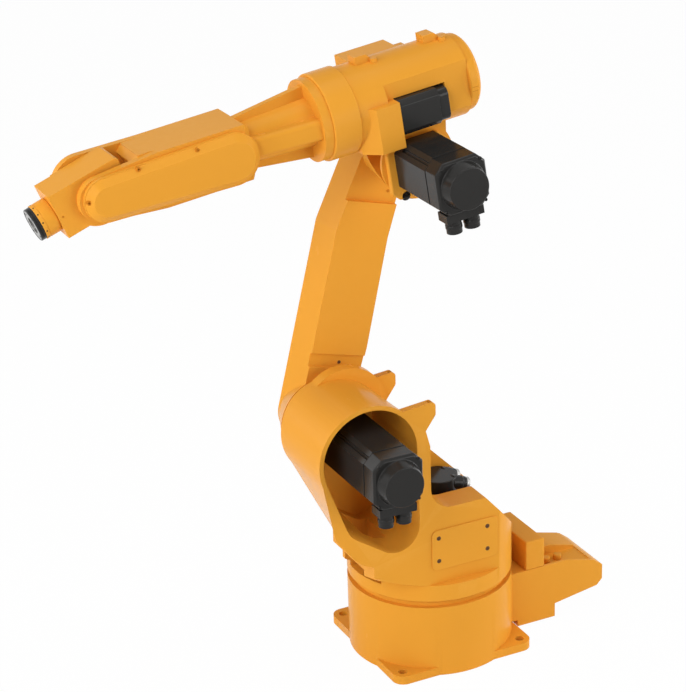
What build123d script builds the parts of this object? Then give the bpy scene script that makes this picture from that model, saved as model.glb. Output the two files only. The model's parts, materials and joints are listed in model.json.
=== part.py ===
from build123d import *
import os

# A six-axis factory robot arm, modelled in millimetres.
# The origin is the centre of the mounting face, on the vertical axis of the base joint.
# +X is the way the arm reaches, +Y is the side of the big motors, +Z is up.

# Clearances
seat_gap = 0.3
turn_gap = 0.3
motor_gap = 1.0

# Overrun of a cut past a face, and the length of a cut that runs right through
over = 1.0
far_out = 600.0

# Base casting
base_r = 168.0
base_top = 153.5
groove_r = base_r - 10.0
groove_h = 15.0
lug_thk = 18.0
lug_corner_r = 24.0
lug_hole_half = (base_r + 22.2) * 0.5 ** 0.5
lug_half = lug_hole_half + 21.5
lug_hole_r = 9.0
rear_flat_x = 18.0 - base_r

# Connector box behind the base
box_half_w = 70.0
box_top = 129.0
box_bottom = 4.0
box_side_gap = 8.0
box_step_x = -base_r - 90.0
box_step_z = 34.0
box_end_x = -base_r - 205.0
box_end_low = 50.0
box_end_cut = 13.0
box_end_top = 96.0
box_slope_x = box_end_x + 21.0
box_slope_z = 112.0
box_bend_x = box_end_x + 86.0
tray_depth = 17.0
tray_wall = 6.0
block_x1 = -base_r - 20.0
block_x0 = block_x1 - 44.0
block_top = 194.0
lid_rise = 3.0
lid_inset = 4.0
lid_x0 = box_end_x + 28.0
plug_r = 9.0
plug_h = 12.0
plug_y = 28.0
plug_step = 28.0

# Swivel casting
disc_h = 34.5
cheek_y = base_r - 20.5
shoulder_top = 365.0
shoulder_front_x = 60.0
shoulder_slope_x = 117.0 - base_r
shoulder_slope = 48.5
foot_x = base_r + 18.0
foot_top = 264.0
foot_far_y = cheek_y - 69.5
foot_flare = 1.75
flare_h = 120.0
foot_edge_r = 8.0
foot_edge_h = 30.0
neck_x = 70.0
neck_top_z = 505.0
neck_fillet = 48.0
neck_root_x = -40.0
column_far_y = -35.0
column_wall = 10.0
hood_r = 108.5
hood_far_r = 104.0
hood_wall = 9.0
hood_skin = 1.5
hood_floor_y = -18.0
hood_draft = 4.0
lobe_mid_x = 203.0
lobe_mid_z = 387.0
lobe_mid_r = 53.0
lobe_mid_wall = 27.0
lobe_low_x = 146.0
lobe_low_z = 345.0
lobe_low_r = 50.0
lobe_out_x = 170.0
lobe_out_z = 362.0
lobe_out_r = 91.0
recess_x = 80.0
recess_drop = 10.0
recess_h = 47.0
recess_corner_r = 26.0
window_x0 = 140.0
window_x1 = 181.0
window_y0 = 5.0
window_y1 = 85.0
stop_r = 90.0
stop_x = 172.0
stop_z = 540.0
stop_thk = 25.0
gusset_thk = 22.0
gusset_low_x = -100.0
gusset_low_z = 325.0
gusset_top_z = 500.0
ear_thk = 16.0
ear_tip_x = 57.0
ear_tip_low_z = 569.0
ear_top_z = 597.0
ear_tip_r = 9.0
ear_waist_x = 79.0
ear_waist_z = 539.0
ear_root_x = 131.0
ear_root_z = 590.0
ear_inner_x = 94.0
ear_hole_r = 5.0
cover_x = -3.0
cover_z = 277.0
cover_w = 148.0
cover_h = 88.0
cover_thk = 3.0
cover_corner_r = 12.0

# Joint axes
j2_x = 198.0
j2_z = 508.0
j3_x = 32.0
j3_z = 1048.0
elbow_tilt = 8.0
wrist_pitch = 13.5

# Upright motor of the base joint
j1_motor_x = -8.0
j1_motor_y = 30.0
j1_motor_z = 290.0
j1_motor_r = 40.0
j1_encoder_z = 345.0
j1_end_z = 377.0
j1_cap_r = 39.0
j1_plug_r = 8.0
j1_plug_end = 53.0
j1_plug_spacing = 40.0
j1_pocket_x = 36.0
j1_pocket_y0 = -12.0
j1_pocket_y1 = 88.0

# Lower arm
arm_near_y = -60.0
arm_thk = 76.0
arm_hub_r = 92.0
arm_hub_far_r = 62.0
arm_hub_neck_r = 56.0
arm_boss_r = 46.0
arm_low_x = 155.0
arm_low_z = 658.0
arm_low_r = 59.5
arm_high_x = 101.0
arm_high_z = 878.0
arm_high_r = 57.5
arm_draft = 6.0
arm_lean = 14.4
arm_pad_low = -19.0
arm_pad_high = 292.0
arm_strip_h = 27.0
arm_strip_depth = 5.0
arm_neck_depth = 10.0
arm_seat_r = 61.0
arm_hub_cover_r = 42.0
arm_boss_cover_r = 34.0
arm_cover_thk = 6.0
reducer_r = 92.0

# Large motors of the second and third joints
motor_half = 53.0
motor_corner = 20.0
motor_groove_r = 3.5
encoder_half = 52.0
encoder_corner = 18.0
encoder_len = 42.0
encoder_edge = 4.0
motor_boss_r = 46.0
motor_cap_r = 40.0
motor_cap_len = 25.0
plug_box_half = 39.0
plug_box_half_y = 17.0
plug_box_h = 17.0
plug_body_r = 15.0
plug_body_len = 25.0
plug_spacing = 37.5
j2_motor_y0 = -17.7
j2_encoder_y0 = 222.0
j2_plug_y = 242.0
j3_flange_y = 46.0
j3_flange_thk = 14.0
j3_flange_rear_u = -58.0
j3_flange_front_u = 68.0
j3_flange_low_w = -62.0
j3_flange_top_w = 48.0
j3_flange_cut = 15.0
j3_encoder_y0 = 180.0
j3_plug_y = 197.0

# Elbow housing, in the frame of the tilted forearm axis
axis_w = 125.0
tube_r = 80.0
tube_rear_u = -118.0
tube_flat_half = 100.0
ring_r = 84.0
ring_rear_u = 116.0
ring_front_u = 172.0
cap_r = 75.0
cap_end_u = -143.0
cap_edge = 8.0
flat_y = 66.0
flat_front_u = 56.0
gear_block_y = 92.0
gear_block_front_u = 88.0
gear_block_root_u = 115.5
gear_block_root_y = 60.0
gear_block_inner_y = 20.0
gear_block_rear_u = 40.0
gear_block_low_w = 50.5
gear_block_top_w = 139.0
j3_hub_r = 62.0
j3_bell_r = 76.0
web_half_u = 78.0
web_far_y = -40.0
pocket_root_u = 24.0
pocket_far_y = -45.0
pocket_near_y = 37.0
pocket_far_w = 9.0
pocket_near_w = -38.0
far_box_y = -104.0
far_box_inner_y = -20.0
far_box_u0 = -36.0
far_box_u1 = 69.0
far_box_low_w = 104.0
far_box_top_w = 193.0
far_step_u0 = -72.0
far_step_top_w = 177.0
lifting_front_u = 64.0
lifting_rear_u = -80.0
lifting_half_u = 17.0
lifting_y0 = -16.0
lifting_y1 = 14.0
lifting_root_w = 60.0
lifting_rise = 14.0
lifting_cut = 11.0
lifting_boss_r = 6.5
lifting_boss_y = 19.0
lifting_boss_step = 18.0
lifting_boss_rise = 5.0
small_motor_half = 35.0
small_motor_corner = 10.0
small_end_inset = 3.0
small_end_r = 14.0
small_end_gap = 4.0
small_motor_y = 53.0
small_motor_w = 104.0
small_motor_len = 84.0
small_end_len = 20.0

# Forearm
fore_flange_len = 18.0
fore_flange_r = 79.0
neck_r0 = 48.0
neck_r1 = 40.0
neck_rib_half = 7.0
neck_rib_rise0 = 70.0
neck_rib_rise1 = 50.0
neck_wing_half = 20.0
neck_wing_y0 = 70.0
neck_wing_y1 = 52.0
neck_wing_r = 9.0
neck_root_depth = 20.0
fore_half_w = 58.0
fore_half_h = 53.5
fore_rear_u = 322.0
fore_rear_cut = 12.0
fork_sweep_r = 100.0
fork_slot_half = 43.0
j5_u = 620.0
prong_r = 56.0
prong_root_len = 120.0
bearing_cap_r = 42.0
bearing_cap_thk = 6.0
belt_rear_u = 366.0
belt_rear_r = 50.0
belt_front_r = 42.0
belt_front_step = 6.0
belt_drop = 2.0
belt_flange_thk = 8.0
belt_inset = 2.0
belt_rise = 13.0
belt_bevel = 12.5

# Wrist and tool flange, in the frame of the tool axis
wrist_hub_r = 54.0
wrist_disc_r = 40.0
wrist_head_u = 10.0
wrist_half_w = 37.5
wrist_front = 80.0
wrist_top = 48.0
wrist_low = -40.0
nose_r = 33.0
nose_end = 104.0
flange_r = 31.5
flange_end = 121.0
flange_bore_r = 15.75
flange_bore_depth = 6.0
flange_pcd = 50.0
flange_hole_r = 3.0
flange_hole_depth = 9.0

elbow_frame = Location((j3_x, 0, j3_z), (0, elbow_tilt, 0))
wrist_frame = elbow_frame * Location((j5_u, 0, axis_w), (0, wrist_pitch, 0))


def block(x0, x1, y0, y1, z0, z1):
    size = Box(x1 - x0, y1 - y0, z1 - z0)
    return Pos((x0 + x1) / 2, (y0 + y1) / 2, (z0 + z1) / 2) * size


def round_x(r, x0, x1, y=0.0, z=0.0):
    return Pos((x0 + x1) / 2, y, z) * Rot(0, 90, 0) * Cylinder(r, x1 - x0)


def round_y(r, y0, y1, x=0.0, z=0.0):
    return Pos(x, (y0 + y1) / 2, z) * Rot(90, 0, 0) * Cylinder(r, y1 - y0)


def round_z(r, z0, z1, x=0.0, y=0.0):
    return Pos(x, y, (z0 + z1) / 2) * Cylinder(r, z1 - z0)


def side_plane(y):
    """A plane facing -Y whose own x and y run along X and Z."""
    return Plane(origin=(0, y, 0), x_dir=(1, 0, 0), z_dir=(0, -1, 0))


def side_prism(outline, y0, y1):
    """An outline drawn in X and Z, pushed from y0 to y1."""
    return extrude(side_plane(y0) * outline, amount=y1 - y0, dir=(0, 1, 0))


def raise_plan(outline, z0, z1):
    """An outline drawn in X and Y, pushed from z0 to z1."""
    return extrude(Pos(0, 0, z0) * outline, amount=z1 - z0, dir=(0, 0, 1))


def wrap(*circles):
    """The outline of a belt stretched round circles given as (x, z, r)."""
    rings = [Pos(x, z) * Circle(r).edge() for x, z, r in circles]
    return make_hull(rings)


def shape(*points):
    return Polygon(*points, align=None)


def build_base():
    body = round_z(base_r, 0, base_top)
    body += round_z(groove_r, base_top, base_top + groove_h / 2 - turn_gap / 2)
    body += raise_plan(RectangleRounded(2 * lug_half, 2 * lug_half, lug_corner_r), 0, lug_thk)
    span = 2 * lug_hole_half
    for spot in GridLocations(span, span, 2, 2):
        body -= spot * round_z(lug_hole_r, -over, lug_thk + over)
    side = box_half_w + box_side_gap
    body -= block(-far_out, rear_flat_x, -side, side, lug_thk, base_top)
    return {"base_casting": body}


def build_rear_box():
    x1 = rear_flat_x
    edge_x = -base_r - seat_gap
    profile = shape(
        (x1, lug_thk + seat_gap), (edge_x, lug_thk + seat_gap), (edge_x, box_bottom),
        (box_step_x, box_bottom), (box_step_x, box_step_z),
        (box_end_x + box_end_cut, box_end_low), (box_end_x, box_end_low + box_end_cut),
        (box_end_x, box_end_top), (box_slope_x, box_slope_z), (box_bend_x, box_top), (x1, box_top),
    )
    body = side_prism(profile, -box_half_w, box_half_w)
    tray_z = box_top - tray_depth
    body -= block(lid_x0, block_x0, 0, box_half_w - tray_wall, tray_z, box_top + over)
    riser = block(block_x0, block_x1, -box_half_w, box_half_w, box_top, block_top)
    fall = (box_top - box_slope_z) / (box_bend_x - box_slope_x)
    end_z = box_top - fall * (box_bend_x - lid_x0)
    strip = shape(
        (block_x0, box_top), (box_bend_x, box_top), (lid_x0, end_z), (lid_x0, end_z + lid_rise),
        (box_bend_x, box_top + lid_rise), (block_x0, box_top + lid_rise),
    )
    lid = side_prism(strip, -box_half_w + lid_inset, 0)
    plugs = Part()
    for step in (1, 2):
        plugs += round_z(plug_r, tray_z, tray_z + plug_h, block_x0 - step * plug_step, plug_y)
    return {"connector_box": body, "cable_riser": riser, "connector_lid": lid, "service_plugs": plugs}


def build_column(z2):
    """The leaning column under the hood, with its foot and the shaft of the shoulder bore."""
    near = side_plane(cheek_y) * wrap(
        (j2_x, j2_z, hood_r - hood_skin), (lobe_mid_x, lobe_mid_z, lobe_mid_r + lobe_mid_wall),
        (lobe_out_x, lobe_out_z, lobe_out_r),
    )
    edge_z = z2 + foot_edge_h + foot_edge_r
    far = side_plane(column_far_y) * wrap(
        (j2_x, j2_z, hood_far_r - hood_skin), (foot_x - 2 * foot_edge_r, edge_z, foot_edge_r),
        (neck_x - foot_edge_r, edge_z, foot_edge_r),
    )
    column = loft([near.face(), far.face()])
    hood = Rot(-90, 0, 0) * Cone(hood_far_r, hood_r, cheek_y - column_far_y)
    column += Pos(j2_x, (cheek_y + column_far_y) / 2, j2_z) * hood
    column += block(neck_root_x, foot_x, foot_far_y, cheek_y, z2, foot_top)
    column += block(neck_root_x, recess_x, column_far_y, cheek_y, z2, foot_top)
    wall_y = column_far_y + column_wall
    column += block(neck_root_x, foot_x - foot_edge_r, column_far_y, wall_y, z2, edge_z)
    profile = shape(
        (neck_x, neck_top_z), (neck_x, shoulder_top), (neck_root_x, shoulder_top),
        (neck_root_x, z2), (j2_x, z2 + recess_h), (j2_x, j2_z), (ear_inner_x, ear_waist_z),
    )
    neck = side_prism(profile, column_far_y, cheek_y)
    upright = neck.edges().filter_by(Axis.Y)
    corner = [e for e in upright if Vector(neck_x, e.center().Y, shoulder_top) == e.center()]
    column += fillet(corner, neck_fillet)
    flare = Pos(0, 0, z2 + flare_h / 2) * Cone(base_r, base_r + flare_h * foot_flare, flare_h)
    column &= flare + round_z(far_out, z2 + flare_h, 2 * far_out)
    low = z2 - recess_drop
    recess = block(recess_x, far_out, wall_y, foot_far_y, low, low + recess_h)
    ridge = recess.edges().filter_by(Axis.X).sort_by(lambda e: e.center().Y + e.center().Z)[-1]
    return column, fillet(ridge, recess_corner_r)


def build_ears():
    """The two horn-shaped lugs behind the hood."""
    outline = shape(
        (neck_x, neck_top_z), (ear_waist_x, ear_waist_z), (ear_tip_x, ear_tip_low_z), (ear_tip_x, ear_top_z),
        (ear_root_x, ear_root_z), (ear_inner_x, ear_waist_z), (ear_inner_x, neck_top_z),
    )
    tip = outline.vertices().sort_by(lambda v: v.Y - v.X)[-2:]
    outline = fillet(tip, ear_tip_r)
    ears = Part()
    for y0 in (cheek_y - ear_thk, column_far_y):
        ear = side_prism(outline, y0, y0 + ear_thk)
        hole_x = ear_tip_x + 2 * ear_hole_r
        ears += ear - round_z(ear_hole_r, ear_waist_z, ear_top_z + over, hole_x, y0 + ear_thk / 2)
    return ears


def build_swivel():
    z0 = base_top + groove_h / 2 + turn_gap / 2
    z1 = base_top + groove_h
    z2 = z1 + disc_h
    body = round_z(groove_r, z0, z1) + round_z(base_r, z1, z2)
    shoulder = round_z(base_r, z2, shoulder_top)
    shoulder &= block(-base_r, shoulder_front_x, -base_r, cheek_y, z2, shoulder_top)
    wedge = block(-far_out, 0, -far_out, far_out, 0, far_out)
    shoulder -= Pos(shoulder_slope_x, 0, shoulder_top) * Rot(0, -shoulder_slope, 0) * wedge
    column, recess = build_column(z2)
    body += shoulder + column
    body += round_y(stop_r, column_far_y, column_far_y + stop_thk, stop_x, stop_z)
    bore = wrap(
        (j2_x, j2_z, hood_r - hood_wall), (lobe_mid_x, lobe_mid_z, lobe_mid_r),
        (lobe_low_x, lobe_low_z, lobe_low_r),
    )
    body -= extrude(side_plane(cheek_y) * bore, amount=cheek_y - hood_floor_y, taper=hood_draft)
    body -= recess
    window = shape(
        (window_x0, z2), (window_x0, lobe_low_z), (lobe_mid_x, lobe_low_z),
        (window_x1, lobe_low_z - lobe_low_r), (window_x1, z2),
    )
    body -= side_prism(window, window_y0, window_y1)
    body -= block(-far_out, j1_pocket_x, j1_pocket_y0, j1_pocket_y1, j1_motor_z, gusset_top_z)
    gusset = shape((neck_x + over, gusset_top_z), (gusset_low_x, gusset_low_z), (neck_x + over, gusset_low_z))
    body += side_prism(gusset, column_far_y, column_far_y + gusset_thk)
    body += build_ears()
    plate = RectangleRounded(cover_w, cover_h, cover_corner_r)
    cover = side_prism(Pos(cover_x, cover_z) * plate, cheek_y, cheek_y + cover_thk)
    reducer = round_y(reducer_r, arm_near_y + turn_gap, column_far_y, j2_x, j2_z)
    return {"swivel_casting": body, "cheek_cover": cover, "shoulder_reducer": reducer}


def octagon(half, cut):
    return chamfer(Rectangle(2 * half, 2 * half).vertices(), cut)


def motor(y0, y1):
    """A servo motor along +Y about the axis x = z = 0, and the encoder behind it."""
    body = side_prism(octagon(motor_half, motor_corner), y0, y1)
    line = motor_half - motor_corner / 2
    for turn in (0, 90, 180, 270):
        body -= Rot(0, turn, 0) * round_y(motor_groove_r, y0 + motor_corner, y1 + over, line, line)
    y2 = y1 + encoder_len
    back = side_prism(octagon(encoder_half, encoder_corner), y1, y2)
    back = chamfer(back.faces().sort_by(Axis.Y)[-1].edges(), encoder_edge)
    boss = Rot(-90, 0, 0) * Cone(motor_boss_r, motor_cap_r, motor_cap_len + over)
    return body, back + Pos(0, y2 + (motor_cap_len - over) / 2, 0) * boss


def motor_plugs(y):
    """The connector box under an encoder, with its two round plugs."""
    top = -encoder_half
    low = top - plug_box_h
    plugs = block(-plug_box_half, plug_box_half, y - plug_box_half_y, y + plug_box_half_y, low, top)
    for side in (-0.5, 0.5):
        plugs += round_z(plug_body_r, low - plug_body_len, low, side * plug_spacing, y)
    return plugs


def build_motors():
    at_j2 = Pos(j2_x, 0, j2_z)
    body, back = motor(j2_motor_y0, j2_encoder_y0)
    nodes = {"shoulder_motor": at_j2 * body, "shoulder_motor_encoder": at_j2 * back}
    nodes["shoulder_motor_plugs"] = at_j2 * motor_plugs(j2_plug_y)
    body, back = motor(j3_flange_y + j3_flange_thk, j3_encoder_y0)
    nodes["elbow_motor"] = elbow_frame * body
    nodes["elbow_motor_encoder"] = elbow_frame * back
    nodes["elbow_motor_plugs"] = elbow_frame * motor_plugs(j3_plug_y)
    at_j1 = Pos(j1_motor_x, j1_motor_y, 0)
    nodes["base_motor"] = at_j1 * round_z(j1_motor_r, j1_motor_z, j1_encoder_z)
    nodes["base_motor_encoder"] = at_j1 * round_z(j1_cap_r, j1_encoder_z, j1_end_z)
    plugs = Part()
    for side in (-0.5, 0.5):
        z = (j1_encoder_z + j1_end_z) / 2
        plugs += round_x(j1_plug_r, -j1_plug_end, 0, side * j1_plug_spacing, z)
    plugs -= round_z(j1_cap_r, j1_encoder_z, j1_end_z)
    nodes["base_motor_plugs"] = at_j1 * plugs
    return nodes


def build_arm():
    y1 = arm_near_y
    y0 = y1 - arm_thk
    low = (arm_low_x, arm_low_z, arm_low_r)
    high = (arm_high_x, arm_high_z, arm_high_r)
    outline = wrap((j2_x, j2_z, arm_hub_neck_r), low) + wrap(low, high)
    outline += wrap(high, (j3_x, j3_z, arm_boss_r))
    body = extrude(side_plane(y1) * outline, amount=arm_thk, taper=-arm_draft)
    along = Location((arm_low_x, 0, arm_low_z), (0, -arm_lean, 0))
    strip = block(-far_out, far_out, y1 - arm_strip_depth, y1 + over, arm_pad_low - arm_strip_h, arm_pad_low)
    upper = block(-far_out, far_out, y1 - arm_neck_depth, y1 + over, arm_pad_high, far_out)
    body -= along * strip
    body -= along * upper - round_y(arm_seat_r, y1 - far_out, y1 + far_out, j3_x, j3_z)
    swell = Cone(arm_hub_far_r, arm_hub_r, arm_thk)
    body += Pos(j2_x, (y0 + y1) / 2, j2_z) * Rot(-90, 0, 0) * swell
    hub_cover = round_y(arm_hub_cover_r, y0 - arm_cover_thk, y0, j2_x, j2_z)
    boss_cover = round_y(arm_boss_cover_r, y0 - arm_cover_thk, y0, j3_x, j3_z)
    return {"lower_arm_casting": body, "arm_hub_cover": hub_cover, "arm_boss_cover": boss_cover}


def build_housing():
    """The elbow casting: the tube, the gear block beside it and the bell of the elbow joint."""
    body = round_x(tube_r, tube_rear_u, ring_rear_u, 0, axis_w)
    flat_low = axis_w - tube_flat_half
    body -= block(tube_rear_u - over, flat_front_u, flat_y, far_out, flat_low, axis_w + tube_flat_half)
    plan = shape(
        (gear_block_root_u, gear_block_inner_y), (gear_block_root_u, gear_block_root_y),
        (gear_block_front_u, gear_block_y), (gear_block_rear_u, gear_block_y),
        (gear_block_rear_u, gear_block_inner_y),
    )
    body += raise_plan(plan, gear_block_low_w, gear_block_top_w)
    y0 = arm_near_y + turn_gap
    bell = Cone(j3_hub_r, j3_bell_r, j3_flange_y - y0)
    body += Pos(0, (y0 + j3_flange_y) / 2, 0) * Rot(-90, 0, 0) * bell
    web = shape((-j3_hub_r, 0), (j3_hub_r, 0), (web_half_u, axis_w), (-web_half_u, axis_w))
    body += side_prism(web, web_far_y, j3_flange_y)
    face = Plane(origin=(pocket_root_u, 0, 0), x_dir=(0, 1, 0), z_dir=(1, 0, 0))
    hollow = shape(
        (pocket_far_y, pocket_far_w), (pocket_near_y, pocket_near_w),
        (pocket_near_y, gear_block_low_w), (pocket_far_y, gear_block_low_w),
    )
    body -= extrude(face * hollow, amount=far_out)
    pocket = small_motor_half + motor_gap
    body -= block(
        gear_block_rear_u - small_motor_len - small_end_len - small_end_gap, gear_block_rear_u,
        small_motor_y - pocket, far_out, small_motor_w - pocket, small_motor_w + pocket,
    )
    return body


def lifting_lug(u):
    """A small tab on top of the tube with a round boss beside it."""
    top = axis_w + tube_r + lifting_rise
    root = axis_w + lifting_root_w
    tab = block(u - lifting_half_u, u + lifting_half_u, lifting_y0, lifting_y1, root, top)
    rear = tab.edges().filter_by(Axis.Y).sort_by(lambda e: e.center().Z - e.center().X)[-1]
    tab = chamfer(rear, lifting_cut)
    boss_top = axis_w + tube_r + lifting_boss_rise
    tab += round_z(lifting_boss_r, root, boss_top, u - lifting_boss_step, lifting_boss_y)
    return tab - round_x(tube_r, -far_out, far_out, 0, axis_w)


def build_elbow():
    ring = round_x(ring_r, ring_rear_u, ring_front_u, 0, axis_w)
    cap = round_x(cap_r, cap_end_u, tube_rear_u, 0, axis_w)
    cap = chamfer(cap.faces().sort_by(Axis.X)[0].edges(), cap_edge)
    far_box = block(far_box_u0, far_box_u1, far_box_y, far_box_inner_y, far_box_low_w, far_box_top_w)
    far_box += block(far_step_u0, far_box_u0, far_box_y, far_box_inner_y, far_box_low_w, far_step_top_w)
    far_box -= round_x(tube_r, -far_out, far_out, 0, axis_w)
    y1 = j3_flange_y + j3_flange_thk
    flange = block(
        j3_flange_rear_u, j3_flange_front_u, j3_flange_y, y1, j3_flange_low_w, j3_flange_top_w
    )
    flange = chamfer(flange.edges().filter_by(Axis.Y), j3_flange_cut)
    u1 = gear_block_rear_u
    case = side_prism(octagon(small_motor_half, small_motor_corner), 0, small_motor_len)
    end_half = small_motor_half - small_end_inset
    end = side_prism(RectangleRounded(2 * end_half, 2 * end_half, small_end_r), 0, small_end_len)
    sideways = Rot(0, 0, 90)
    return {
        "elbow_housing": elbow_frame * build_housing(), "forearm_reducer_ring": elbow_frame * ring,
        "elbow_rear_cap": elbow_frame * cap, "elbow_side_box": elbow_frame * far_box,
        "elbow_motor_flange": elbow_frame * flange,
        "forearm_motor": elbow_frame * Pos(u1, small_motor_y, small_motor_w) * sideways * case,
        "forearm_motor_encoder":
            elbow_frame * Pos(u1 - small_motor_len, small_motor_y, small_motor_w) * sideways * end,
        "lifting_lug_front": elbow_frame * lifting_lug(lifting_front_u),
        "lifting_lug_rear": elbow_frame * lifting_lug(lifting_rear_u),
    }


def forearm_neck(u1, u2):
    """The ribbed neck between the round flange and the forearm box, from u1 to u2."""
    u0 = u1 - over
    neck = Pos((u0 + u2) / 2, 0, axis_w) * Rot(0, 90, 0) * Cone(neck_r0, neck_r1, u2 - u0)
    rib = shape(
        (u0, axis_w - neck_rib_rise0), (u0, axis_w + neck_rib_rise0),
        (u2, axis_w + neck_rib_rise1), (u2, axis_w - neck_rib_rise1),
    )
    neck += side_prism(rib, -neck_rib_half, neck_rib_half)
    plan = shape((u0, -neck_wing_y0), (u0, neck_wing_y0), (u2, neck_wing_y1), (u2, -neck_wing_y1))
    wing = raise_plan(plan, axis_w - neck_wing_half, axis_w + neck_wing_half)
    long_edges = [e for e in wing.edges() if e.length > u2 - u0]
    return neck + fillet(long_edges, neck_wing_r)


def build_forearm():
    u0 = ring_front_u + turn_gap
    u1 = u0 + fore_flange_len
    body = round_x(fore_flange_r, u0, u1, 0, axis_w)
    body += forearm_neck(u1, fore_rear_u + neck_root_depth)
    low = axis_w - fore_half_h
    beam = block(fore_rear_u, j5_u, -fore_half_w, fore_half_w, low, axis_w + fore_half_h)
    beam = chamfer(beam.faces().sort_by(Axis.X)[0].edges(), fore_rear_cut)
    root_u = j5_u - prong_root_len
    for side in (-1, 1):
        y_edges = sorted((side * fork_slot_half, side * far_out))
        beam -= block(root_u, far_out + j5_u, y_edges[0], y_edges[1], 0, far_out)
    body += beam - round_y(fork_sweep_r, -fork_slot_half, fork_slot_half, j5_u, axis_w)
    root = (root_u, axis_w, fore_half_h)
    body += side_prism(wrap((j5_u, axis_w, prong_r), root), -fore_half_w, -fork_slot_half)
    body += side_prism(wrap((j5_u, axis_w, belt_front_r), root), fork_slot_half, fore_half_w)
    rear_w = axis_w - belt_drop
    front_u = j5_u - belt_front_step
    y1 = fore_half_w + belt_flange_thk
    rim = wrap((belt_rear_u, rear_w, belt_rear_r), (front_u, axis_w, belt_front_r))
    rear_r = belt_rear_r - belt_inset
    front_r = belt_front_r - belt_inset
    dome = side_prism(wrap((belt_rear_u, rear_w, rear_r), (front_u, axis_w, front_r)), y1, y1 + belt_rise)
    dome = chamfer(dome.faces().sort_by(Axis.Y)[-1].edges(), belt_bevel)
    cap_y = -fore_half_w
    far_cap = round_y(bearing_cap_r, cap_y - bearing_cap_thk, cap_y, j5_u, axis_w)
    return {
        "forearm_casting": elbow_frame * body,
        "belt_cover": elbow_frame * (side_prism(rim, fore_half_w, y1) + dome),
        "wrist_bearing_cap": elbow_frame * far_cap,
    }


def build_wrist():
    body = round_y(wrist_hub_r, -wrist_half_w, wrist_half_w)
    disc_y = fork_slot_half - turn_gap
    body += round_y(wrist_disc_r, -disc_y, disc_y)
    body += block(wrist_head_u, wrist_front, -wrist_half_w, wrist_half_w, wrist_low, wrist_top)
    nose = round_x(nose_r, wrist_front, nose_end)
    ring = round_x(flange_r, nose_end + turn_gap, flange_end)
    ring -= round_x(flange_bore_r, flange_end - flange_bore_depth, flange_end + over)
    for spot in PolarLocations(flange_pcd / 2, 4, start_angle=45):
        p = spot.position
        ring -= round_x(flange_hole_r, flange_end - flange_hole_depth, flange_end + over, p.X, p.Y)
    return {
        "wrist_casting": wrist_frame * body, "wrist_nose": wrist_frame * nose,
        "tool_flange": wrist_frame * ring,
    }


os.makedirs("parts", exist_ok=True)
all_nodes = {}
builders = (
    build_base, build_rear_box, build_swivel, build_motors, build_arm, build_elbow, build_forearm,
    build_wrist,
)
for build in builders:
    all_nodes.update(build())
for name, solid in all_nodes.items():
    export_step(solid, f"parts/{name}.step")
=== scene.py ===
import json
import math

import bmesh
import bpy
from mathutils import Matrix, Vector


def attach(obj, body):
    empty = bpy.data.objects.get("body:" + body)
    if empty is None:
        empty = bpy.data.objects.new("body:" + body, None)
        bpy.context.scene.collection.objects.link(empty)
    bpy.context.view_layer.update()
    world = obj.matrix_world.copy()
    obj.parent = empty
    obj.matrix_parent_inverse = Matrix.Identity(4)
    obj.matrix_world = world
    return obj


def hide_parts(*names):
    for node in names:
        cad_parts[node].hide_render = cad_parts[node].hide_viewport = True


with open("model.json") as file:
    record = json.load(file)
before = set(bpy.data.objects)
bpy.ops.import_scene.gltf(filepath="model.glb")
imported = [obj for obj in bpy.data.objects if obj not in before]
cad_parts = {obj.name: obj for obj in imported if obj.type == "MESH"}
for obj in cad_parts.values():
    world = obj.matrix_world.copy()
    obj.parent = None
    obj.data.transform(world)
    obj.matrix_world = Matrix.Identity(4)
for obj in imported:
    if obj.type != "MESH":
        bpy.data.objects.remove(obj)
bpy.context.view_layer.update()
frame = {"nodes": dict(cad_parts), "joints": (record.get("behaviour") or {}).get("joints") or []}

# Looks of a six-axis factory robot arm. Shapes are in millimetres and angles in degrees, and mm turns
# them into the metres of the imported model. Lamps, the camera and the floor are in metres.
mm = 0.001
nodes = frame["nodes"]
joints = {joint["name"]: joint for joint in frame["joints"]}

# Photograph and camera
image_w = 686
image_h = 692
focal_px = 2287.5
view_azimuth = 154.54
view_elevation = 22.71
view_roll = -1.93
view_distance = 4.4897
aim_side = -0.1610
aim_height = 0.6518
sensor_w = 36.0
view_reach = 100

# Lamps: place and size in metres, and power in watts
lamp_aim = (0.15, 0, 0.6)
lamps = {
    "left": ((4.6, 0.6, 1.3), 2.5, 80),
    "left_high": ((3.2, 2.2, 3.2), 2.0, 76),
    "right": ((-2.4, 4.4, 1.4), 2.5, 80),
    "rear": ((-4.4, 1.0, 1.6), 2.5, 106),
    "top": ((0.2, 0.2, 4.8), 2.5, 60),
    "back_left": ((3.4, -3.2, 1.8), 2.5, 40),
}
world_light = 0.09
world_seen = 1.0

# Floor
floor_reach = 30.0
floor_drop = 0.0005
floor_cloud_scale = 0.6
floor_dark = 0.93
floor_light = 0.96
floor_roughness = 0.8
floor_specular = 0.1
floor_glow_share = 0.98

# Finish colours, linear
white = (1, 1, 1, 1)
orange = (0.795, 0.346, 0.037, 1)
# Lighter orange on sharp edges: wear, and a painted highlight along the edges
orange_wear_and_highlight = (0.880, 0.430, 0.075, 1)
orange_deep = (0.770, 0.318, 0.024, 1)
black = (0.0208, 0.0199, 0.0187, 1)
black_worn = (0.028, 0.0265, 0.0250, 1)
black_deep = (0.0155, 0.0147, 0.0138, 1)
steel = (0.420, 0.415, 0.400, 1)
steel_worn = (0.560, 0.550, 0.530, 1)
steel_deep = (0.250, 0.245, 0.240, 1)
# Dark brown of the cheek cover and arm strip screws: painted shade of recessed holes
screw = (0.120, 0.052, 0.016, 1)
screw_worn = (0.200, 0.110, 0.050, 1)
# Darker orange of some screws and of the cap slits: painted shade of the recesses they sit in
shade = (0.560, 0.185, 0.010, 1)
plug = (0.420, 0.420, 0.410, 1)

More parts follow.
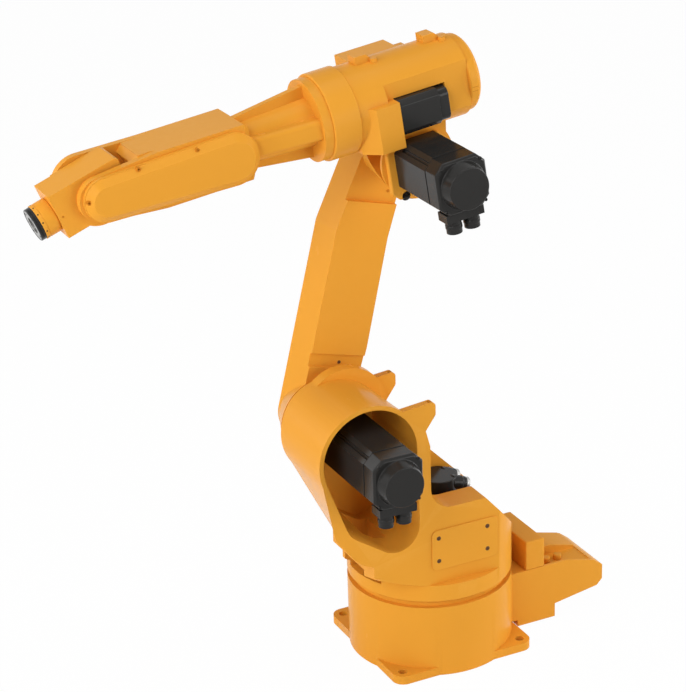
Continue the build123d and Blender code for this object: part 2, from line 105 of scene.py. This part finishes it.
# Patterns that every finish shares: their scales, and how much of each is mixed in
drift_scale = 4.0
drift_share = 0.16
speck_scale = 90.0
# Sharp edges lightened as wear and as a painted highlight: how much, and the pointiness where it starts and
# is full
edge_wear_and_highlight_share = 0.35
edge_wear_and_highlight_start = 0.52
edge_wear_and_highlight_full = 0.58
gloss_scale = 22.0
roughness_less = 0.02
roughness_more = 0.04
grain_strength = 0.12

# Widths of the rounded edges
edge_casting = 3.0
edge_forearm = 6.0
edge_motor = 1.6
edge_flange = 0.8
edge_wrist = 2.5
edge_ramp = 1.2
edge_connector = 0.4
edge_slit = 0.2

# Sides of the turned pieces, by how large they show
sides_wide = 64
sides_mid = 48
sides_small = 40
sides_screw = 24
sides_hole = 16

# Half the width of the wrist block, which its side screws need too
wrist_half_w = 37.5


def move(x, y, z):
    return Matrix.Translation(Vector((x, y, z)) * mm)


def tilt(degrees, axis):
    return Matrix.Rotation(math.radians(degrees), 4, axis)


def joint_place(joint, forward=None):
    """The place of a joint, level or with its X axis along the axis of the joint named forward."""
    place = Matrix.Translation(Vector(joints[joint]["pos_m"]))
    if forward is None:
        return place
    x, _, z = joints[forward]["axis"]
    return place @ Matrix.Rotation(math.atan2(-z, x), 4, "Y")


# Places that the pieces are laid out from
world_place = Matrix.Identity(4)
shoulder_place = joint_place("shoulder_pitch")
elbow_place = joint_place("elbow_pitch", "forearm_roll")
wrist_place = joint_place("wrist_bend", "flange_turn")

# Turns that lay the Z axis of a turned piece along an axis of its place
facing = {
    "x": tilt(90, "Y"), "-x": tilt(-90, "Y"),
    "y": tilt(-90, "X"), "-y": tilt(90, "X"),
    "-z": tilt(180, "X"),
}


# Finishes
def add(tree, kind, **inputs):
    """A shader node with its inputs set or linked. i0 is the input numbered 0, and so on."""
    node = tree.nodes.new(kind)
    for name, value in inputs.items():
        numbered = name[0] == "i" and name[1:].isdigit()
        socket = node.inputs[int(name[1:]) if numbered else name.replace("_", " ")]
        if isinstance(value, bpy.types.NodeSocket):
            tree.links.new(value, socket)
        else:
            socket.default_value = value
    return node


def add_math(tree, operation, a, b):
    node = add(tree, "ShaderNodeMath", i0=a, i1=b)
    node.operation = operation
    return node.outputs["Value"]


def mix_colour(tree, share, a, b):
    """The colour between a and b, as a socket. Both are colours or sockets."""
    node = tree.nodes.new("ShaderNodeMix")
    node.data_type = "RGBA"
    tree.links.new(share, node.inputs["Factor"])
    for key, value in (("A", a), ("B", b)):
        if isinstance(value, bpy.types.NodeSocket):
            tree.links.new(value, node.inputs[key])
        else:
            node.inputs[key].default_value = value
    return node.outputs[2]


def start_material(name):
    """A new material, with its tree, its surface shader and its object coordinates."""
    material = bpy.data.materials.new(name)
    material.use_nodes = True
    tree = material.node_tree
    place = tree.nodes.new("ShaderNodeTexCoord").outputs["Object"]
    return material, tree, tree.nodes["Principled BSDF"], place


def finish_material(name, base, wear_and_highlight, deep, roughness, specular, grain, grain_depth, metallic=0.0):
    """A cast or machined surface: slow colour drift, edges lightened as wear and as a painted highlight,
    fine grain and uneven gloss.
    """
    material, tree, shader, place = start_material(name)
    drift = add(tree, "ShaderNodeTexNoise", Vector=place, Scale=drift_scale, Detail=3.0)
    spread = add(
        tree, "ShaderNodeMapRange", Value=drift.outputs["Fac"], From_Min=0.3, From_Max=0.7,
        To_Min=0.0, To_Max=drift_share,
    )
    tone = mix_colour(tree, spread.outputs["Result"], base, deep)
    # Sharp edges get the lighter colour in specks: wear, and a painted highlight
    point = tree.nodes.new("ShaderNodeNewGeometry").outputs["Pointiness"]
    edge = add(
        tree, "ShaderNodeMapRange", Value=point, From_Min=edge_wear_and_highlight_start, From_Max=edge_wear_and_highlight_full, To_Max=edge_wear_and_highlight_share,
    )
    specks = add(tree, "ShaderNodeTexNoise", Vector=place, Scale=speck_scale, Detail=4.0)
    worn_and_lit_edges = add_math(tree, "MULTIPLY", edge.outputs["Result"], specks.outputs["Fac"])
    tree.links.new(mix_colour(tree, worn_and_lit_edges, tone, wear_and_highlight), shader.inputs["Base Color"])
    gloss = add(tree, "ShaderNodeTexNoise", Vector=place, Scale=gloss_scale, Detail=5.0)
    rough = add(
        tree, "ShaderNodeMapRange", Value=gloss.outputs["Fac"], From_Min=0.25, From_Max=0.75,
        To_Min=roughness - roughness_less, To_Max=roughness + roughness_more,
    )
    tree.links.new(rough.outputs["Result"], shader.inputs["Roughness"])
    peel = add(tree, "ShaderNodeTexNoise", Vector=place, Scale=grain, Detail=2.0)
    bump = add(
        tree, "ShaderNodeBump", Strength=grain_strength, Distance=grain_depth * mm,
        Height=peel.outputs["Fac"],
    )
    tree.links.new(bump.outputs["Normal"], shader.inputs["Normal"])
    shader.inputs["Metallic"].default_value = metallic
    shader.inputs["Specular IOR Level"].default_value = specular
    return material


def make_materials():
    """Each finish by its name. The numbers are roughness, specular, grain scale and depth, and metallic."""
    rows = {
        "orange_paint": (orange, orange_wear_and_highlight, orange_deep, 0.24, 0.042, 420.0, 0.3),
        "motor_black": (black, black_worn, black_deep, 0.20, 0.16, 500.0, 0.1),
        "screw_painted_shade": (screw, screw_worn, black, 0.45, 0.2, 900.0, 0.1),
        "orange_painted_shade": (shade, orange_deep, shade, 0.5, 0.1, 420.0, 0.1),
        "plug_metal": (plug, steel_worn, steel, 0.35, 0.5, 900.0, 0.1, 0.6),
        "flange_steel": (steel, steel_worn, steel_deep, 0.34, 0.5, 900.0, 0.2, 0.9),
    }
    return {name: finish_material(name, *row) for name, row in rows.items()}


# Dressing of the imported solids
def soften(piece, width):
    """Rounds the sharp edges of a solid as a casting or a machined part has them."""
    for poly in piece.data.polygons:
        poly.use_smooth = True
    weld = piece.modifiers.new("weld", "WELD")
    weld.merge_threshold = 0.02 * mm
    flat = piece.modifiers.new("flat", "DECIMATE")
    flat.decimate_type = "DISSOLVE"
    flat.angle_limit = math.radians(0.8)
    bevel = piece.modifiers.new("bevel", "BEVEL")
    bevel.width = width * mm
    bevel.segments = 3
    bevel.limit_method = "ANGLE"
    bevel.angle_limit = math.radians(32.0)
    bevel.use_clamp_overlap = True
    bevel.harden_normals = False
    bevel.miter_outer = "MITER_ARC"
    normals = piece.modifiers.new("shade", "WEIGHTED_NORMAL")
    normals.keep_sharp = False
    normals.weight = 80


def finish_of(name):
    """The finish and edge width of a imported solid. Of the motor pieces only a flange is painted orange."""
    if name == "tool_flange":
        return "flange_steel", edge_flange
    if "motor" in name and not name.endswith("flange"):
        return "motor_black", edge_motor
    return "orange_paint", edge_forearm if name == "forearm_casting" else edge_casting


def dress_castings(materials):
    for name, piece in nodes.items():
        finish, width = finish_of(name)
        piece.data.materials.clear()
        piece.data.materials.append(materials[finish])
        soften(piece, width)


# Shape helpers
def span(node, place):
    """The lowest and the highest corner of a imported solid, along the axes of a place."""
    back = place.inverted()
    points = [back @ vert.co / mm for vert in nodes[node].data.vertices]
    return [Vector([pick(point[i] for point in points) for i in range(3)]) for pick in (min, max)]


def turned_mesh(shape, rings, place, sides, ends="closed"):
    """Adds a turned shape about the Z axis of place, and gives back its loops of corners.

    A ring is (radius, height), or (radius, height, flats) for a polygon with that many flats. Its ends
    are closed, open, or joined into a tube with a wall.
    """
    loops = []
    for radius, height, *flats in rings:
        loop = []
        for i in range(sides):
            a = 2 * math.pi * i / sides
            r = radius
            if flats:
                step = 2 * math.pi / flats[0]
                r = radius * math.cos(step / 2) / math.cos((a % step) - step / 2)
            corner = Vector((r * math.cos(a), r * math.sin(a), height)) * mm
            loop.append(shape.verts.new(place @ corner))
        loops.append(loop)
    pairs = list(zip(loops, loops[1:]))
    if ends == "joined":
        pairs.append((loops[-1], loops[0]))
    for low, high in pairs:
        for i in range(sides):
            j = (i + 1) % sides
            shape.faces.new((low[i], low[j], high[j], high[i]))
    if ends == "closed":
        shape.faces.new(loops[0][::-1])
        shape.faces.new(loops[-1])
    return loops


def side_prism(shape, outline, y0, y1, place):
    """Adds a closed prism from y0 to y1 on an outline of (forward, up) points."""
    near, far = [
        [shape.verts.new(place @ move(u, y, w).translation) for u, w in outline] for y in (y0, y1)
    ]
    shape.faces.new(near)
    shape.faces.new(far)
    for i in range(len(outline)):
        j = (i + 1) % len(outline)
        shape.faces.new((near[i], near[j], far[j], far[i]))


def on_circle(r, degrees):
    a = math.radians(degrees)
    return r * math.cos(a), r * math.sin(a)


def finish_piece(name, shape, material, body, bevel=0.0):
    """Turns a built shape into an object that rides on a body of the model."""
    mesh = bpy.data.meshes.new(name)
    bmesh.ops.recalc_face_normals(shape, faces=shape.faces)
    shape.to_mesh(mesh)
    shape.free()
    piece = bpy.data.objects.new(name, mesh)
    bpy.context.scene.collection.objects.link(piece)
    piece.data.materials.append(material)
    if bevel:
        edge = piece.modifiers.new("bevel", "BEVEL")
        edge.width = bevel * mm
        edge.segments = 2
        edge.limit_method = "ANGLE"
        edge.angle_limit = math.radians(30.0)
    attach(piece, body)
    return piece


def screw_rings(r, h):
    """A socket head screw of radius r that stands h proud, and starts a little below the surface."""
    sunk = 1.0
    edge = 0.15 * r
    socket_r = 0.52 * r
    floor_r = 0.50 * r
    floor_h = 0.25 * h
    middle_r = 0.05 * r
    middle_h = 0.20 * h
    flats = 6
    return [
        (r, -sunk), (r, h - edge), (r - edge, h),
        (socket_r, h, flats), (floor_r, floor_h, flats), (middle_r, middle_h, flats),
    ]


def add_screws(name, places, r, h, material, body):
    """One piece that holds a screw at each place."""
    shape = bmesh.new()
    for place in places:
        turned_mesh(shape, screw_rings(r, h), place, sides_screw)
    finish_piece(name, shape, material, body)


# Tool flange
def add_tool_flange(materials):
    """The black flange ring with its steel face, bore and holes, in place of the plain solid."""
    low, high = span("tool_flange", wrist_place)
    rear = low.x
    front = high.x
    face = front - 0.4
    outer_r = high.z
    groove_r = outer_r - 0.7
    groove_rear = front - 5.5
    groove_front = front - 3.9
    groove_slope = 0.5
    rim_edge = 1.0
    rim_w = 3.0
    lip_w = 0.2
    bore_r = 15.75
    bore_floor = front - 6.0
    hole_count = 8
    hole_circle_r = 25.0
    bolt_r = 3.0
    pin_r = 1.6
    hole_floor = front - 5.0
    hole_tip = front - 5.5
    point_r = 0.01
    place = wrist_place @ facing["x"]
    side = [
        (point_r, rear), (outer_r, rear), (outer_r, groove_rear), (groove_r, groove_rear + groove_slope),
        (groove_r, groove_front - groove_slope), (outer_r, groove_front), (outer_r, front - rim_edge),
        (outer_r - rim_edge, front), (outer_r - rim_w, front), (outer_r - rim_w - lip_w, face),
    ]
    bore = [(bore_r, face), (bore_r, bore_floor), (point_r, bore_floor)]
    shape = bmesh.new()
    rim_loop = turned_mesh(shape, side, place, sides_wide, "open")[-1]
    bore_loop = turned_mesh(shape, bore, place, sides_wide, "open")[0]
    loops = [rim_loop, bore_loop]
    for i in range(hole_count):
        r = bolt_r if i % 2 else pin_r
        x, y = on_circle(hole_circle_r, i * 360 / hole_count)
        hole = [(r, face), (r, hole_floor), (point_r, hole_tip)]
        loops.append(turned_mesh(shape, hole, place @ move(x, y, 0), sides_hole, "open")[0])
    edges = []
    for loop in loops:
        for i, vert in enumerate(loop):
            edges.append(shape.edges.get((vert, loop[(i + 1) % len(loop)])))
    filled = bmesh.ops.triangle_fill(shape, edges=edges, use_beauty=True, use_dissolve=False)
    steel_faces = {f for f in filled["geom"] if isinstance(f, bmesh.types.BMFace)}
    for vert in bore_loop:
        steel_faces.update(vert.link_faces)
    for f in steel_faces:
        f.material_index = 1
    paint = materials["motor_black"]
    piece = finish_piece("tool_flange_turned", shape, paint, "tool_flange")
    piece.data.materials.append(materials["flange_steel"])
    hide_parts("tool_flange")


# Wrist
def add_wrist_block(materials):
    """The wrist block with its flat top, round heel and hub discs, in place of the plain solid."""
    solid_end = span("wrist_casting", wrist_place)[1]
    front = solid_end.x
    top = 48.0
    low = -40.0
    hub_r = 54.0
    steps = 20
    cheek_front = 46.0
    cheek_y = -41.6
    cheek_overlap = 2.0
    disc_r = 40.0
    disc_rise = solid_end.y - wrist_half_w
    disc_edge = 0.8
    disc_sunk = 1.0
    arc_end = 360 + math.degrees(math.asin(low / hub_r))
    heel = [(-57.0, top), (-62.0, 43.0), (-61.0, 22.0)]
    heel += [on_circle(hub_r, 180 + (arc_end - 180) * i / steps) for i in range(steps + 1)]
    shape = bmesh.new()
    block = [(front, top)] + heel + [(front, low)]
    side_prism(shape, block, -wrist_half_w, wrist_half_w, wrist_place)
    cheek = [(cheek_front, top)] + heel + [(cheek_front, low)]
    side_prism(shape, cheek, cheek_y, cheek_overlap - wrist_half_w, wrist_place)
    disc = [(disc_r, -disc_sunk), (disc_r, disc_rise - disc_edge), (disc_r - disc_edge, disc_rise)]
    for y, way in ((wrist_half_w, "y"), (-wrist_half_w, "-y")):
        turned_mesh(shape, disc, wrist_place @ move(0, y, 0) @ facing[way], sides_wide)
    piece = finish_piece("wrist_block", shape, materials["orange_paint"], "wrist")
    soften(piece, edge_wrist)
    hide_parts("wrist_casting")


def add_nose_sleeve(materials):
    """The thin sleeve round the nose, with its ring of small screws."""
    nose_end = span("wrist_nose", wrist_place)[1]
    rear = nose_end.x - 0.4
    front = rear + 7.2
    outer_r = nose_end.z
    inner_r = outer_r - 1.2
    edge = 0.6
    screw_u = rear + 4.0
    screw_count = 12
    step = 360 / screw_count
    wall = [(inner_r, rear), (outer_r, rear), (outer_r, front - edge)]
    wall += [(outer_r - edge, front), (inner_r, front)]
    shape = bmesh.new()
    turned_mesh(shape, wall, wrist_place @ facing["x"], sides_wide, "joined")
    finish_piece("wrist_nose_sleeve", shape, materials["orange_paint"], "wrist")
    spot = move(screw_u, 0, outer_r)
    spots = [wrist_place @ tilt((i + 0.5) * step, "X") @ spot for i in range(screw_count)]
    add_screws("nose_screws", spots, 1.5, 0.4, materials["motor_black"], "wrist")


# Forearm
def add_fork_ramp(materials):
    """The sloped face that closes the top rear of the fork, clear of the wrist's heel as it swings."""
    fork_half_w = 43.4
    top = 178.6
    low = 140.0
    ramp = [(524.0, top), (533.5, top), (547.0, 164.5), (539.5, 151.0), (537.0, low), (518.0, low)]
    shape = bmesh.new()
    side_prism(shape, ramp, -fork_half_w, fork_half_w, elbow_place)
    finish_piece("fork_ramp", shape, materials["orange_paint"], "forearm", edge_ramp)


# Cover screws
def add_cover_screws(materials):
    """The screws of the covers, which all face the side with the big motors."""
    cheek_x = 1.9
    cheek_y = span("cheek_cover", world_place)[1].y
    cheek_z = 278.8
    half_x = 54.5
    half_z = 24.9
    belt_y = 66.0
    cheek = [(cheek_x + half_x * i, cheek_y, cheek_z + half_z * k) for i in (-1, 1) for k in (-1, 1)]
    belt = [(548.0, belt_y, 165.0), (434.0, belt_y, 164.5), (649.0, belt_y, 133.0)]
    strip = [(157.4, -65.0, 621.8)]
    boss = [(38.0, -70.0, 953.7)]
    wrist_side = [(72.2, wrist_half_w, 1.6)]
    # The cheek cover and arm strip screws are dark brown and the others darker orange: both colours are
    # painted shade of the recesses round them
    rows = (
        ("cheek_cover_screws", world_place, cheek, 4.6, 1.0, "screw_painted_shade", "swivel", "motor_black"),
        ("belt_cover_screws", elbow_place, belt, 4.2, 8.0, "orange_painted_shade", "forearm", "orange_paint"),
        ("arm_strip_screw", world_place, strip, 3.6, 1.0, "screw_painted_shade", "lower_arm", "motor_black"),
        ("arm_boss_screw", world_place, boss, 3.2, 1.0, "orange_painted_shade", "lower_arm", "orange_paint"),
        ("wrist_side_screws", wrist_place, wrist_side, 2.2, 0.6, "orange_painted_shade", "wrist", "orange_paint"),
    )
    for name, place, points, r, h, finish, body, slot in rows:
        places = [place @ move(*point) @ facing["y"] for point in points]
        add_screws(name, places, r, h, materials[finish], body)


# Motors
def add_encoder_details(name, place, body, paint):
    """Four screws at the corners of an encoder, and the collars of the two plugs below it."""
    encoder_cap_len = 25.0
    screw_half = 41.0
    plug_box_h = 17.0
    plug_half = 18.75
    screw_y = span(name + "_motor_encoder", place)[1].y - encoder_cap_len
    low, high = span(name + "_motor_plugs", place)
    plug_y = (low.y + high.y) / 2
    plug_top = high.z - plug_box_h
    collar = [(15.6, 8.0), (16.0, 8.8), (16.0, 15.2), (15.6, 16.0)]
    corners = [(screw_half * i, screw_y, screw_half * k) for i in (-1, 1) for k in (-1, 1)]
    places = [place @ move(*corner) @ facing["y"] for corner in corners]
    add_screws(name + "_encoder_screws", places, 3.2, 1.6, paint, body)
    shape = bmesh.new()
    for side in (-plug_half, plug_half):
        turned_mesh(shape, collar, place @ move(side, plug_y, plug_top) @ facing["-z"], sides_mid)
    finish_piece(name + "_plug_collars", shape, paint, body)


def add_motor_foot(paint):
    """The round foot at the lower corner of the elbow motor's flange."""
    foot_u = 41.0
    foot_y = 47.5
    foot_w = -56.0
    foot_r = 10.0
    edge = 1.5
    length = 12.5
    rings = [(foot_r, 0.0), (foot_r, length - edge), (foot_r - edge, length)]
    place = elbow_place @ move(foot_u, foot_y, foot_w) @ facing["y"]
    shape = bmesh.new()
    turned_mesh(shape, rings, place, sides_small)
    finish_piece("elbow_motor_foot", shape, paint, "elbow")


def add_base_motor_connectors(materials):
    """The two leaning connectors of the upright motor, in place of the plain plugs."""
    root_x = -22.0
    roots_y = (9.0, 51.0)
    root_z = 366.0
    lean = -17
    housing = [
        (11.0, 0.0), (15.0, 4.0), (15.0, 25.0), (13.5, 27.0), (13.5, 33.0), (12.5, 34.0), (12.0, 38.0),
    ]
    end = [(11.0, 35.0), (12.5, 36.0), (12.5, 42.0), (11.7, 43.0), (8.0, 43.0), (7.6, 39.0)]
    housings = bmesh.new()
    ends = bmesh.new()
    for y in roots_y:
        place = move(root_x, y, root_z) @ facing["-x"] @ tilt(lean, "Y")
        turned_mesh(housings, housing, place, sides_small)
        turned_mesh(ends, end, place, sides_small)
    paint = materials["motor_black"]
    piece = finish_piece("base_motor_connectors", housings, paint, "swivel", edge_connector)
    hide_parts("base_motor_plugs")
    finish_piece("base_motor_connector_ends", ends, materials["plug_metal"], "swivel")


def add_motor_details(materials):
    paint = materials["motor_black"]
    add_encoder_details("shoulder", shoulder_place, "swivel", paint)
    add_encoder_details("elbow", elbow_place, "elbow", paint)
    add_motor_foot(paint)
    add_base_motor_connectors(materials)


# Elbow
def add_cap_slits(materials):
    """Two narrow slits on the side of the elbow rear cap, drawn as thin dark orange bars of painted shade.
    """
    slit_u = -126.5
    slit_r = 74.8
    slit_size = Matrix.Diagonal((12.5 * mm, 1.4 * mm, 0.8 * mm, 1))
    cap_low, cap_high = span("elbow_rear_cap", elbow_place)
    cap_axis = elbow_place @ move(0, 0, (cap_low.z + cap_high.z) / 2)
    shape = bmesh.new()
    for turn in (-104.2, -97.8):
        place = cap_axis @ tilt(turn, "X") @ move(slit_u, 0, slit_r)
        bmesh.ops.create_cube(shape, size=1.0, matrix=place @ slit_size)
    finish_piece("elbow_cap_slits", shape, materials["orange_painted_shade"], "elbow", edge_slit)


# Studio
def make_camera():
    """A camera at the photograph's angle, rolled a little, aimed at a point above the base."""
    a = math.radians(view_azimuth)
    e = math.radians(view_elevation)
    roll = math.radians(view_roll)
    back = Vector((math.sin(a) * math.cos(e), -math.cos(a) * math.cos(e), math.sin(e)))
    right = Vector((math.cos(a), math.sin(a), 0))
    up = back.cross(right)
    place = right * aim_side + Vector((0, 0, aim_height)) + back * view_distance
    right_rolled = right * math.cos(roll) + up * math.sin(roll)
    up_rolled = up * math.cos(roll) - right * math.sin(roll)
    lens = bpy.data.cameras.new("camera")
    lens.sensor_width = sensor_w
    lens.lens = focal_px * sensor_w / max(image_w, image_h)
    lens.clip_end = view_reach
    camera = bpy.data.objects.new("camera", lens)
    turn = Matrix((right_rolled, up_rolled, back)).transposed()
    camera.matrix_world = Matrix.Translation(place) @ turn.to_4x4()
    bpy.context.scene.collection.objects.link(camera)
    bpy.context.scene.camera = camera


def make_lamps():
    for name, (place, size, power) in lamps.items():
        light = bpy.data.lights.new(name, "AREA")
        light.size = size
        light.energy = power
        lamp = bpy.data.objects.new(name, light)
        lamp.location = place
        lamp.rotation_euler = (Vector(lamp_aim) - Vector(place)).to_track_quat("-Z", "Y").to_euler()
        bpy.context.scene.collection.objects.link(lamp)


def make_world():
    """A white world that camera, glossy and transmission rays see, and that lights the part softly."""
    world = bpy.data.worlds.new("studio")
    bpy.context.scene.world = world
    world.use_nodes = True
    tree = world.node_tree
    path = tree.nodes.new("ShaderNodeLightPath").outputs
    seen = add_math(tree, "MAXIMUM", path["Is Camera Ray"], path["Is Transmission Ray"])
    shown = add_math(tree, "MAXIMUM", seen, path["Is Glossy Ray"])
    level = add(tree, "ShaderNodeMapRange", Value=shown, To_Min=world_light, To_Max=world_seen)
    background = tree.nodes["Background"]
    tree.links.new(level.outputs["Result"], background.inputs["Strength"])
    background.inputs["Color"].default_value = white


def make_floor_material():
    """A pale floor that keeps a faint shadow and otherwise shows white."""
    material, tree, shader, place = start_material("floor_white")
    cloud = add(tree, "ShaderNodeTexNoise", Vector=place, Scale=floor_cloud_scale)
    tint = add(
        tree, "ShaderNodeMapRange", Value=cloud.outputs["Fac"], To_Min=floor_dark, To_Max=floor_light,
    )
    tree.links.new(tint.outputs["Result"], shader.inputs["Base Color"])
    shader.inputs["Roughness"].default_value = floor_roughness
    shader.inputs["Specular IOR Level"].default_value = floor_specular
    glow = add(tree, "ShaderNodeEmission", Color=white, Strength=1.0)
    path = tree.nodes.new("ShaderNodeLightPath").outputs
    seen = add_math(tree, "MAXIMUM", path["Is Camera Ray"], path["Is Glossy Ray"])
    share = add_math(tree, "MULTIPLY", seen, floor_glow_share)
    surface = add(
        tree, "ShaderNodeMixShader", i0=share, i1=shader.outputs["BSDF"], i2=glow.outputs["Emission"],
    )
    tree.links.new(surface.outputs["Shader"], tree.nodes["Material Output"].inputs["Surface"])
    return material


def make_floor():
    mesh = bpy.data.meshes.new("floor")
    shape = bmesh.new()
    bmesh.ops.create_grid(shape, x_segments=1, y_segments=1, size=floor_reach)
    shape.to_mesh(mesh)
    shape.free()
    floor = bpy.data.objects.new("floor", mesh)
    floor.location.z = -floor_drop
    bpy.context.scene.collection.objects.link(floor)
    floor.data.materials.append(make_floor_material())


def main():
    make_camera()
    make_world()
    make_floor()
    make_lamps()
    materials = make_materials()
    dress_castings(materials)
    add_tool_flange(materials)
    add_wrist_block(materials)
    add_nose_sleeve(materials)
    add_fork_ramp(materials)
    add_cover_screws(materials)
    add_motor_details(materials)
    add_cap_slits(materials)
    bpy.context.scene.view_settings.view_transform = "Standard"


main()
